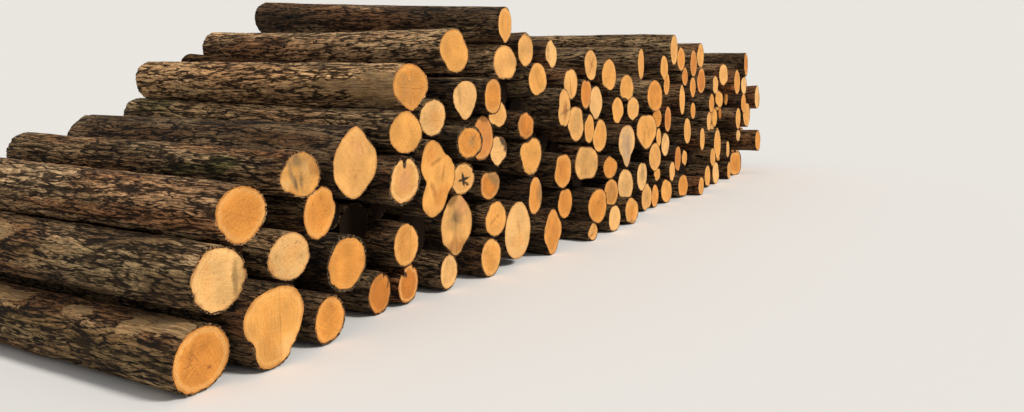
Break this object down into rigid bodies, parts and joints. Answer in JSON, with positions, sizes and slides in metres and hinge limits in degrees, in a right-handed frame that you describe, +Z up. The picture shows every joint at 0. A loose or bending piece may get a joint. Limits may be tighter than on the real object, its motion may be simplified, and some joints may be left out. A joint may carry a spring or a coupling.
{
  "type": "heap of logs",
  "caption": "Long low heap of barked sawlogs, stacked one log deep with their sawn ends showing along one side, rising from a low near end.",
  "frame": {"origin": "middle of the heap's length and depth, on the ground", "axes": "+X along the heap from its low near end to its far end, +Y along the logs from their sawn faces to the hidden back, +Z up"},
  "size_m": [14.1118, 3.4096, 2.6203],
  "materials": {
    "bark_logs": "rough grey-brown furrowed bark with fresh yellow-orange sawn ends",
    "hidden_logs": "rough dark bark, in shade inside the heap"
  },
  "bodies": {
    "root": {"corner_log": "bark_logs", "corner_second_log": "bark_logs", "corner_third_log": "bark_logs", "pear_log": "bark_logs", "leaning_log": "bark_logs", "weathered_log": "bark_logs", "low_small_log": "bark_logs", "tucked_log": "bark_logs", "thick_bark_log": "bark_logs", "almond_log": "bark_logs", "low_pair_log_1": "bark_logs", "low_pair_log_2": "bark_logs", "notched_log": "bark_logs", "flared_butt_log": "bark_logs", "tilted_log": "bark_logs", "barked_wedge_log": "bark_logs", "recessed_log": "bark_logs", "shield_log": "bark_logs", "leading_top_log": "bark_logs", "pale_low_log": "bark_logs", "cracked_log": "bark_logs", "stained_log": "bark_logs", "pointed_log": "bark_logs", "spotted_log": "bark_logs", "bay_1_inner": "hidden_logs", "bay_2_ground": "bark_logs", "bay_2_second": "bark_logs", "bay_2_third": "bark_logs", "bay_2_fourth": "bark_logs", "bay_2_top": "bark_logs", "bay_2_inner": "hidden_logs", "bay_3_ground": "bark_logs", "bay_3_second": "bark_logs", "bay_3_third": "bark_logs", "bay_3_fourth": "bark_logs", "bay_3_fifth": "bark_logs", "bay_3_top": "bark_logs", "bay_3_inner": "hidden_logs", "bay_4_ground": "bark_logs", "bay_4_second": "bark_logs", "bay_4_third": "bark_logs", "bay_4_fourth": "bark_logs", "bay_4_top": "bark_logs", "bay_4_inner": "hidden_logs", "bay_5_ground": "bark_logs", "bay_5_second": "bark_logs", "bay_5_third": "bark_logs", "bay_5_fourth": "bark_logs", "bay_5_top": "bark_logs", "bay_5_inner": "hidden_logs", "bay_6_ground": "bark_logs", "bay_6_second": "bark_logs", "bay_6_third": "bark_logs", "bay_6_fourth": "bark_logs", "bay_6_top": "bark_logs", "bay_6_inner": "hidden_logs"}
  },
  "joints": []
}
